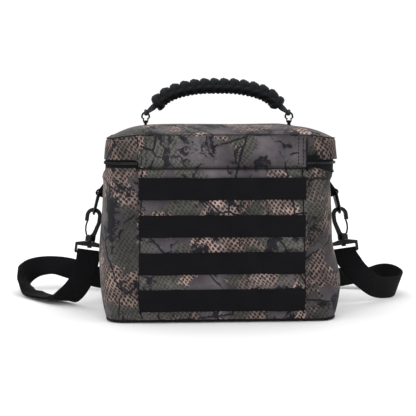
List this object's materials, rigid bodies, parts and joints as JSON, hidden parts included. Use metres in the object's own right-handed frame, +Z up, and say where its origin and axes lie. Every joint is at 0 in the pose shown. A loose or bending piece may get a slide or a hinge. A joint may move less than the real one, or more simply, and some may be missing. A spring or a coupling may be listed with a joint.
{
  "type": "lipo safe bag",
  "caption": "Boxy soft bag with a fire-retardant lining, front-hinged zip lid, braided cord handle, webbing rows and a clip-on shoulder strap, printed in dark camouflage.",
  "frame": {"origin": "centre of the bag's underside, on the surface that it stands on", "axes": "+Z up, +X to the right seen from the webbing side, -Y out of the webbing side, where the lid hinges"},
  "size_m": [0.5087, 0.2446, 0.2777],
  "materials": {
    "camo_fabric": "woven polyester with a printed camouflage",
    "webbing": "ribbed nylon webbing, matt black",
    "zip_tape": "fine woven tape",
    "zip_coil": "nylon coil, satin",
    "cord": "braided nylon cord",
    "lining": "silver fire-retardant glass cloth",
    "foam": "closed-cell foam",
    "base_plastic": "stiffener sheet",
    "black_steel": "black coated steel wire, satin",
    "hook_plastic": "moulded acetal, satin"
  },
  "bodies": {
    "bag": {"front_panel": "camo_fabric", "back_panel": "camo_fabric", "left_side_panel": "camo_fabric", "right_side_panel": "camo_fabric", "base_panel": "camo_fabric", "body_foam": "foam", "base_foam": "foam", "body_liner": "lining", "base_board": "base_plastic", "base_piping": "webbing", "webbing_row_1": "webbing", "webbing_row_2": "webbing", "webbing_row_3": "webbing", "webbing_row_4": "webbing", "ring_tab_left": "webbing", "ring_tab_right": "webbing", "shoulder_strap": "webbing", "zip_tape_lower": "zip_tape", "zip_coil_lower": "zip_coil", "strap_frame_left": "hook_plastic", "strap_frame_right": "hook_plastic", "strap_slider": "hook_plastic"},
    "lid": {"lid_band": "camo_fabric", "lid_hinge_panel": "camo_fabric", "lid_top_panel": "camo_fabric", "lid_foam": "foam", "lid_liner": "lining", "zip_tape_upper": "zip_tape", "zip_coil_upper": "zip_coil", "handle_tab_left": "webbing", "handle_tab_right": "webbing"},
    "handle_rings": {"handle_ring_left": "black_steel", "handle_ring_right": "black_steel"},
    "handle": {"handle_braid": "cord", "handle_core": "cord"},
    "zip_slider_left": {"zip_slider_left": "black_steel"},
    "zip_pull_left": {"zip_pull_left": "black_steel"},
    "d_ring_left": {"d_ring_left": "black_steel"},
    "hook_left": {"hook_claw_left": "hook_plastic", "hook_rivet_left": "black_steel"},
    "hook_gate_left": {"hook_gate_left": "black_steel"},
    "zip_slider_right": {"zip_slider_right": "black_steel"},
    "zip_pull_right": {"zip_pull_right": "black_steel"},
    "d_ring_right": {"d_ring_right": "black_steel"},
    "hook_right": {"hook_claw_right": "hook_plastic", "hook_rivet_right": "black_steel"},
    "hook_gate_right": {"hook_gate_right": "black_steel"}
  },
  "joints": [
    {"name": "lid_hinge", "type": "hinge", "parent": "bag", "child": "lid", "pos_m": [0, -0.095, 0.17715], "axis": [1, 0, 0], "range_deg": [0, 115]},
    {"name": "handle_rings_swing", "type": "hinge", "parent": "lid", "child": "handle_rings", "pos_m": [0, 0, 0.226], "axis": [1, 0, 0], "range_deg": [-45, 45]},
    {"name": "handle_swing", "type": "hinge", "parent": "handle_rings", "child": "handle", "pos_m": [0, 0, 0.2385], "axis": [1, 0, 0], "range_deg": [-30, 30]},
    {"name": "zip_slider_left_run", "type": "slide", "parent": "bag", "child": "zip_slider_left", "axis": [-1, 0, 0], "range_m": [0, 0.085]},
    {"name": "zip_pull_left_swing", "type": "hinge", "parent": "zip_slider_left", "child": "zip_pull_left", "pos_m": [-0.00665, 0.097, 0.182], "axis": [1, 0, 0], "range_deg": [0, 120]},
    {"name": "d_ring_left_swing", "type": "hinge", "parent": "bag", "child": "d_ring_left", "pos_m": [-0.144, 0, 0.142], "axis": [0, 1, 0], "range_deg": [-2.5, 2.5]},
    {"name": "hook_left_swivel", "type": "hinge", "parent": "bag", "child": "hook_left", "pos_m": [-0.1555, 0, 0.0823], "axis": [0.1392, 0, 0.9903], "range_deg": [-14, 14]},
    {"name": "hook_gate_left_press", "type": "hinge", "parent": "hook_left", "child": "hook_gate_left", "pos_m": [-0.15954, 0, 0.09095], "axis": [0, 1, 0], "range_deg": [0, 22], "stiffness_Nm_per_rad": 0.02, "springref_deg": -17.19},
    {"name": "zip_slider_right_run", "type": "slide", "parent": "bag", "child": "zip_slider_right", "axis": [1, 0, 0], "range_m": [0, 0.085]},
    {"name": "zip_pull_right_swing", "type": "hinge", "parent": "zip_slider_right", "child": "zip_pull_right", "pos_m": [0.00665, 0.097, 0.182], "axis": [1, 0, 0], "range_deg": [0, 120]},
    {"name": "d_ring_right_swing", "type": "hinge", "parent": "bag", "child": "d_ring_right", "pos_m": [0.144, 0, 0.142], "axis": [0, 1, 0], "range_deg": [-2.5, 2.5]},
    {"name": "hook_right_swivel", "type": "hinge", "parent": "bag", "child": "hook_right", "pos_m": [0.1555, 0, 0.0823], "axis": [-0.1392, 0, 0.9903], "range_deg": [-14, 14]},
    {"name": "hook_gate_right_press", "type": "hinge", "parent": "hook_right", "child": "hook_gate_right", "pos_m": [0.15954, 0, 0.09095], "axis": [0, -1, 0], "range_deg": [0, 22], "stiffness_Nm_per_rad": 0.02, "springref_deg": -17.19}
  ]
}
